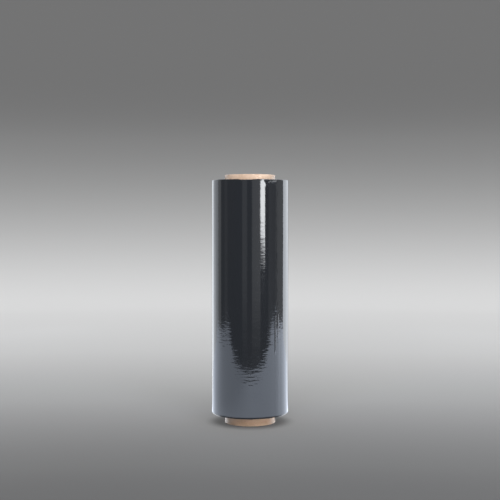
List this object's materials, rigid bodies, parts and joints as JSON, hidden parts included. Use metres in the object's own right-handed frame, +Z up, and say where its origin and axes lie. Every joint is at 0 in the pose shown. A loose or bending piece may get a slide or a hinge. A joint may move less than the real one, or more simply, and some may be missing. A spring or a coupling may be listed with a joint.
{
  "type": "stretch wrap roll",
  "caption": "Hand roll of glossy black stretch film wound on a kraft paperboard core that stands out at both ends, for wrapping and bundling packed goods.",
  "frame": {"origin": "centre of the core's lower end face, on which the roll stands", "axes": "+Z up the core's axis, from the end with the longer bare stub to the end with the shorter one"},
  "size_m": [0.125, 0.125, 0.405],
  "materials": {
    "kraft_board": "matt spiral-wound kraft paperboard",
    "black_film": "glossy black polyethylene stretch film with fine wrinkles"
  },
  "bodies": {
    "root": {"core": "kraft_board", "film_roll": "black_film"}
  },
  "joints": []
}
